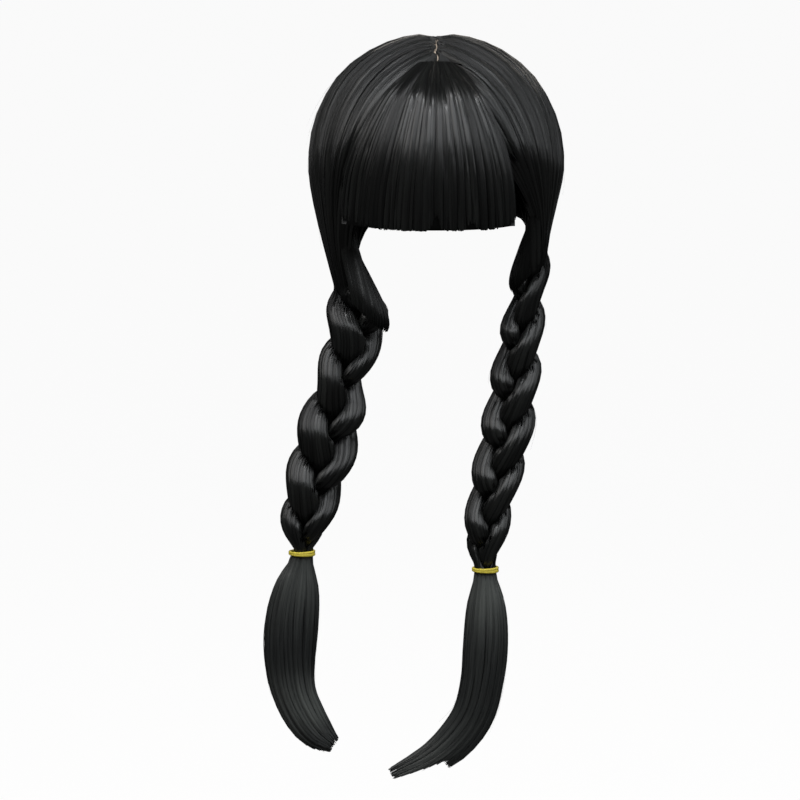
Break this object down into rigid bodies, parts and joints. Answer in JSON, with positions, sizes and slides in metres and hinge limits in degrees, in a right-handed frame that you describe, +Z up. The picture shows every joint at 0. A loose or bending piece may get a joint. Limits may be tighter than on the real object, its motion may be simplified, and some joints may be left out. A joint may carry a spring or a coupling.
{
  "type": "pigtail wig",
  "caption": "Black wig with a middle parting, a blunt fringe and a long plait on each side, each tied with an elastic above a loose tail, on a hollow cap that seats on a head.",
  "frame": {"origin": "inside top of the cap, where the crown of a head touches it", "axes": "+Z up out of the head's crown, -Y the way the face looks, +X to the right in a view of the face side"},
  "size_m": [0.2471, 0.2297, 0.6297],
  "materials": {
    "hair": "glossy black synthetic hair",
    "net": "matt black net",
    "parting": "matt skin-coloured cloth",
    "elastic": "satin yellow rubber"
  },
  "bodies": {
    "root": {"wig_cap": "net", "parting_strip": "parting", "fringe": "hair", "crown_hair_left": "hair", "plait_left_strand_1": "hair", "plait_left_strand_2": "hair", "plait_left_strand_3": "hair", "tail_left": "hair", "tie_left": "elastic", "crown_hair_right": "hair", "plait_right_strand_1": "hair", "plait_right_strand_2": "hair", "plait_right_strand_3": "hair", "tail_right": "hair", "tie_right": "elastic"}
  },
  "joints": []
}
